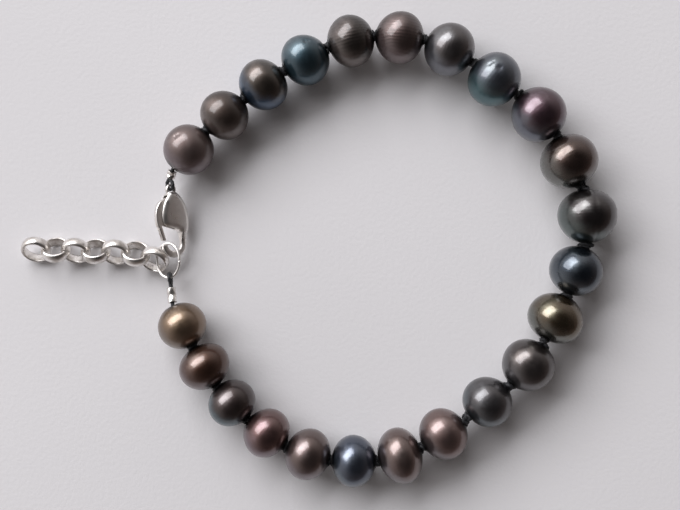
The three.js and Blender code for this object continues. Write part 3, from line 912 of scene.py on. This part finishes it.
def block(name, low, high):
    """A plain box, used to cut with."""
    shape = bmesh.new()
    bmesh.ops.create_cube(shape, size=1)
    middle = (low + high) / 2
    for vertex in shape.verts:
        vertex.co = middle + Vector(part * length for part, length in zip(vertex.co, high - low))
    return kept_mesh(name, shape)


def applied(mesh, *changes):
    """The mesh after some modifiers, each given as its kind and its settings."""
    holder = new_object("holder", mesh)
    for kind, settings in changes:
        modifier = holder.modifiers.new(kind.lower(), kind)
        for key, value in settings.items():
            setattr(modifier, key, value)
    graph = bpy.context.evaluated_depsgraph_get()
    result = bpy.data.meshes.new_from_object(holder.evaluated_get(graph))
    bpy.data.objects.remove(holder)
    return result


def cut_from(mesh, tool):
    """The mesh with the tool's space cut out of it."""
    cutter = new_object("cutter", tool)
    result = applied(mesh, ("BOOLEAN", {"object": cutter, "operation": "DIFFERENCE", "solver": "EXACT"}))
    bpy.data.objects.remove(cutter)
    return result


def cast(mesh, voxel, rounds):
    """Runs the mesh's solids together into one smooth casting."""
    return applied(
        mesh,
        ("REMESH", {"mode": "VOXEL", "voxel_size": voxel, "use_smooth_shade": True}),
        ("SMOOTH", {"factor": 0.5, "iterations": rounds}),
    )


def eye_mesh():
    """The clasp's eye, a ring of rounded wire."""
    middle = (EYE_RADIUS + EYE_HOLE) / 2
    wire = (EYE_RADIUS - EYE_HOLE) / 2
    stretch = EYE_THICKNESS / (2 * wire)
    rows = []
    for angle in turn_angles(48):
        row = []
        for turn in turn_angles(24):
            reach = middle + wire * math.cos(turn)
            height = stretch * wire * math.sin(turn)
            row.append((EYE_RADIUS + reach * math.cos(angle), reach * math.sin(angle), height))
        rows.append(row)
    return grid_mesh("eye", rows, closed=True)


def clasp_body_mesh(voxel):
    """The clasp's cheeks with the lever's slot, its hook, its eye and its pin, in millimetres."""
    cheeks = crowned_plate("cheeks", cheek_outline(), BODY_THICKNESS, crown=0.6, edge=0.75)
    low = Vector((0.154 * CLASP_LENGTH, -2 * CHEEK_REACH, -SLOT_WIDTH / 2))
    high = Vector((0.73 * CLASP_LENGTH, SLOT_FLOOR, SLOT_WIDTH / 2))
    cheeks = cut_from(cheeks, block("slot", low, high))
    hook = crowned_plate("hook", hook_outline(), BODY_THICKNESS, crown=0.85, edge=0.32)
    pin = pivot_rod("pin", BODY_THICKNESS / 2 - 0.2, PIN_RADIUS)
    casting = cast(joined("clasp_body", [cheeks, hook, eye_mesh(), pin]), voxel, rounds=4)
    for vertex in casting.vertices:
        vertex.co.z = domed(vertex.co)
    return casting


def domed(point):
    """The height of a point of the casting, once its cheeks are domed and thinned into the hook. The
    dome's top and the start and length of the thinning are in shares of the clasp's length."""
    top, thin_from, thin_over = 0.42, 0.58, 0.24
    middle = 0.3
    x, y, z = point
    slot = SLOT_WIDTH / 2
    if abs(z) > slot:
        across = (y - middle) / (CHEEK_REACH + middle)
        along = x / CLASP_LENGTH - top
        fullness = 1 - 0.35 * min(across * across, 1) - 1.2 * along * along
        z = math.copysign(slot + (abs(z) - slot) * fullness, z)
    share = min(max((x / CLASP_LENGTH - thin_from) / thin_over, 0.0), 1.0)
    blend = share * share * (3 - 2 * share)
    return z * (1 + blend * (HOOK_THICKNESS / BODY_THICKNESS - 1))


def clasp_lever_mesh(voxel):
    """The lever with its bore, in millimetres."""
    plate = crowned_plate("plate", lever_outline(), LEVER_THICKNESS, crown=0.16, edge=0.16)
    bore = pivot_rod("bore", LEVER_THICKNESS, LEVER_BORE)
    return cast(cut_from(plate, bore), voxel * 0.8, rounds=2)


def link_mesh(link, name):
    """A chain link: a wide band, flat inside with soft edges and crowned outside."""
    side = link["axis"].orthogonal().normalized()
    top = link["axis"].cross(side)
    inner, half = link["bore"], link["half_length"]
    band = link["radius"] * math.cos(math.pi / LINK_SIDES) - inner
    soft, crown = 0.12 * band, 0.88 * band
    profile = []
    for angle in even_values(-math.pi / 2, math.pi / 2, 20):
        profile.append((inner + soft + crown * math.cos(angle) ** 0.8, half * math.sin(angle)))
    for step in range(1, 8):
        share = 1 - step / 4
        profile.append((inner + soft * share**4, 0.93 * half * share))
    rows = []
    for angle in turn_angles(96):
        out = math.cos(angle) * side + math.sin(angle) * top
        rows.append([link["centre"] + height * link["axis"] + reach * out for reach, height in profile])
    return grid_mesh(name, rows, closed=True)


class BRACELET_OT_pearls(bpy.types.Operator):
    """Make the pearls"""

    bl_idname = "bracelet.pearls"
    bl_label = "Pearls"

    def execute(self, context):
        settings = context.scene.bracelet_pearls
        slots = {part["node"]: part["material_slot"] for part in frame["record"]["subparts"]}
        for bead, look in zip(measure_bracelet(), PEARL_LOOKS, strict=True):
            node = f"pearl_{bead['number']:02d}"
            material = nacre(bead, look, settings)
            add_piece(f"{node}_nacre", pearl_mesh(bead, settings), material, slots[node], node)
        return {"FINISHED"}


class BRACELET_OT_silk(bpy.types.Operator):
    """String the pearls on knotted silk, looped to the clasp and to the jump ring"""

    bl_idname = "bracelet.silk"
    bl_label = "Silk"

    def execute(self, context):
        settings = context.scene.bracelet_silk
        beads = measure_bracelet()
        upper, lower = measure_turned("crimp_upper"), measure_turned("crimp_lower")
        radius = settings.thread_radius
        paths = [
            self.eye_loop(upper["centre"], radius),
            self.ring_loop(lower["centre"], beads[-1], radius),
        ]
        for strand in STRANDS:
            lift = Vector((0, 0, strand.lift * radius))
            path = strand_path(beads, settings, upper["centre"], lower["centre"], strand.lead)
            paths.append([point + lift for point in path])
        meshes = []
        for path in paths:
            meshes.append(grid_mesh("strand", tube_rows(path, radius, sides=12, twist=5 * radius)))
        add_piece("knotted_silk", joined("knotted_silk", meshes), silk(settings), "silk", "silk_thread")
        return {"FINISHED"}

    def eye_loop(self, start, radius):
        """The loop through the clasp's eye, round the bar at its end."""
        place = clasp_matrix()
        bar = (EYE_RADIUS - EYE_HOLE) / 2
        slack = 0.12
        root_slack = 0.15
        reach = bar + radius / MM + slack
        root = place @ Vector((bar - reach - root_slack, 0, 0))
        far = place @ Vector((bar + reach, 0, 0))
        rise = place.to_3x3() @ Vector((0, 0, EYE_THICKNESS / 2 + radius / MM + slack))
        return hairpin(start, root, far, rise, 0.8 * radius)

    def ring_loop(self, start, last_pearl, radius):
        """The doubled thread from the lower crimp round the jump ring's wire."""
        centre, wide, tall, wire = jump_ring_frame()
        beside_lowest = 0.32 * MM
        share = beside_lowest / wide.length
        held = centre + share * wide - math.sqrt(1 - share * share) * tall
        way = (mouth(last_pearl, 1) - held).normalized()
        side = way.cross(Vector((0, 0, 1))).normalized()
        reach = wire + radius
        far = held - 1.15 * reach * way
        root = held + 1.9 * reach * way
        rise = side.cross(way) * 1.5 * reach
        return hairpin(start, root, far, rise, 0.8 * radius)


class BRACELET_OT_crimps(bpy.types.Operator):
    """Squeeze a silver tube on the silk at each end"""

    bl_idname = "bracelet.crimps"
    bl_label = "Crimps"

    def execute(self, context):
        material = silver("crimp_silver", context.scene.bracelet_silver, roughness=0.24)
        notches = {
            "crimp_upper": {"place": 0.1, "angle": 0.6, "depth": 0.12},
            "crimp_lower": {"place": -0.05, "angle": 0.5, "depth": 0.4},
        }
        for node, notch in notches.items():
            tube = measure_turned(node)
            if tube["axis"].y > 0:
                tube["axis"] = -tube["axis"]
            name = f"{node}_tube"
            add_piece(name, squeezed_tube(name, tube, notch), material, "silver", node)
        return {"FINISHED"}


class BRACELET_OT_clasp(bpy.types.Operator):
    """Cast the lobster clasp's body and its lever"""

    bl_idname = "bracelet.clasp"
    bl_label = "Clasp"

    def execute(self, context):
        settings = context.scene.bracelet_silver
        place = clasp_matrix()
        body = clasp_body_mesh(settings.voxel)
        lever = clasp_lever_mesh(settings.voxel)
        body.transform(place)
        lever.transform(place)
        material = silver("clasp_silver", settings, settings.roughness)
        add_piece("clasp_casting", body, material, "silver", "clasp_body")
        add_piece("clasp_thumb_lever", lever, material, "silver", "clasp_lever", body="lever")
        return {"FINISHED"}


class BRACELET_OT_jump_ring(bpy.types.Operator):
    """Bend the oval jump ring"""

    bl_idname = "bracelet.jump_ring"
    bl_label = "Jump ring"

    def execute(self, context):
        settings = context.scene.bracelet_silver
        centre, wide, tall, wire = jump_ring_frame()
        seam = 0.016
        path = []
        for angle in even_values(seam, math.tau - seam, 120):
            path.append(centre + math.cos(angle) * wide + math.sin(angle) * tall)
        mesh = grid_mesh("oval_ring", tube_rows(path, wire, sides=16))
        material = silver("ring_silver", settings, settings.roughness, wear=0.0)
        add_piece("oval_ring", mesh, material, "silver", "jump_ring")
        return {"FINISHED"}


class BRACELET_OT_chain(bpy.types.Operator):
    """Turn the extension chain's links"""

    bl_idname = "bracelet.chain"
    bl_label = "Chain"

    def execute(self, context):
        settings = context.scene.bracelet_silver
        material = silver("chain_silver", settings, settings.roughness, wear=1.0)
        for number in range(1, LINK_COUNT + 1):
            node = f"chain_link_{number:02d}"
            mesh = link_mesh(measure_turned(node), f"{node}_band")
            add_piece(f"{node}_band", mesh, material, "silver", node)
        return {"FINISHED"}


class BRACELET_OT_stage(bpy.types.Operator):
    """Lay the paper and set up the window's light, the room and the camera"""

    bl_idname = "bracelet.stage"
    bl_label = "Stage"

    def execute(self, context):
        settings = context.scene.bracelet_stage
        self.paper(settings)
        self.window(settings)
        self.room(context.scene, settings)
        self.camera(context.scene, settings)
        context.scene.view_settings.view_transform = "Standard"
        return {"FINISHED"}

    def paper(self, settings):
        """A wide sheet of pale paper with a faint tooth."""
        mesh = bpy.data.meshes.new("paper")
        corners = [(PAPER_REACH * x, PAPER_REACH * y, 0) for x, y in ((-1, -1), (1, -1), (1, 1), (-1, 1))]
        mesh.from_pydata(corners, [], [(0, 1, 2, 3)])
        shader = Shader(bpy.data.materials.new("paper"))
        tooth = shader.noise(1800.0, detail=4.0)
        blotches = shader.noise(14.0)
        pale = tuple(settings.paper_colour)
        shade = tuple(0.97 * value for value in pale)
        colour = shader.mix(shader.ranged(blotches, 0.35, 0.7), pale, shade)
        rough = shader.ranged(tooth, 0.3, 0.7, 0.8, 0.9)
        relief = shader.bump(tooth, 0.03 * MM)
        mesh.materials.append(shader.finish(Base_Color=colour, Roughness=rough, Normal=relief))
        new_object("paper", mesh)

    def window(self, settings):
        """A large window beyond the picture's upper left corner."""
        light = bpy.data.lights.new("window", "AREA")
        light.shape = "RECTANGLE"
        light.size, light.size_y = WINDOW_SIZE
        light.energy = settings.window_power
        light.color = WINDOW_COLOUR
        lamp = new_object("window", light)
        direction = Vector(WINDOW_SIDE).normalized()
        lamp.location = WINDOW_DISTANCE * direction
        lamp.rotation_euler = direction.to_track_quat("Z", "Y").to_euler()

    def room(self, scene, settings):
        """A room with pale walls, brightest on the window's side, under a dark ceiling. The pearls
        mirror its darkest place a little to the right of their middle."""
        scene.world = bpy.data.worlds.new("room")
        shader = Shader(scene.world)
        direction = shader.add("ShaderNodeTexCoord").outputs["Generated"]
        side = shader.towards(direction, BRIGHT_SIDE)
        ceiling = shader.towards(direction, CEILING_SIDE)
        walls = shader.mix(shader.ranged(side, -0.9, 0.8), FAR_WALL, BRIGHT_WALL)
        colour = shader.mix(shader.ranged(ceiling, 0.25, 0.93), walls, CEILING)
        shader.finish("Background", Color=colour, Strength=settings.room_strength)

    def camera(self, scene, settings):
        """A camera straight over the picture's middle."""
        data = bpy.data.cameras.new("camera")
        data.sensor_width = 36
        data.lens = data.sensor_width * settings.camera_height / PICTURE_WIDTH
        eye = new_object("camera", data)
        eye.location = (*PICTURE_CENTRE, settings.camera_height + PICTURE_LEVEL)
        scene.camera = eye


class BRACELET_PT_panel(bpy.types.Panel):
    """Lists the steps that make the bracelet"""

    bl_label = "Pearl bracelet"
    bl_idname = "BRACELET_PT_panel"
    bl_space_type = "VIEW_3D"
    bl_region_type = "UI"
    bl_category = "Bracelet"

    def draw(self, context):
        """Shows a button for each step, then every setting."""
        for step in STEPS:
            self.layout.operator(step.bl_idname)
        for name in GROUPS:
            group = getattr(context.scene, name)
            for key in group.bl_rna.properties.keys():
                if key not in ("rna_type", "name"):
                    self.layout.prop(group, key)


STEPS = (
    BRACELET_OT_pearls,
    BRACELET_OT_silk,
    BRACELET_OT_crimps,
    BRACELET_OT_clasp,
    BRACELET_OT_jump_ring,
    BRACELET_OT_chain,
    BRACELET_OT_stage,
)
GROUPS = {
    "bracelet_pearls": PearlSettings,
    "bracelet_silk": SilkSettings,
    "bracelet_silver": SilverSettings,
    "bracelet_stage": StageSettings,
}


def register():
    """Adds the settings, the steps and their panel."""
    for group in GROUPS.values():
        bpy.utils.register_class(group)
    for name, group in GROUPS.items():
        setattr(bpy.types.Scene, name, bpy.props.PointerProperty(type=group))
    for step in (*STEPS, BRACELET_PT_panel):
        bpy.utils.register_class(step)


def unregister():
    """Takes away what register added."""
    for step in reversed((*STEPS, BRACELET_PT_panel)):
        bpy.utils.unregister_class(step)
    for name, group in GROUPS.items():
        delattr(bpy.types.Scene, name)
        bpy.utils.unregister_class(group)


def main():
    """Makes the bracelet and its stage."""
    register()
    bpy.ops.bracelet.pearls()
    bpy.ops.bracelet.silk()
    bpy.ops.bracelet.crimps()
    bpy.ops.bracelet.clasp()
    bpy.ops.bracelet.jump_ring()
    bpy.ops.bracelet.chain()
    bpy.ops.bracelet.stage()


if __name__ == "__main__":
    main()
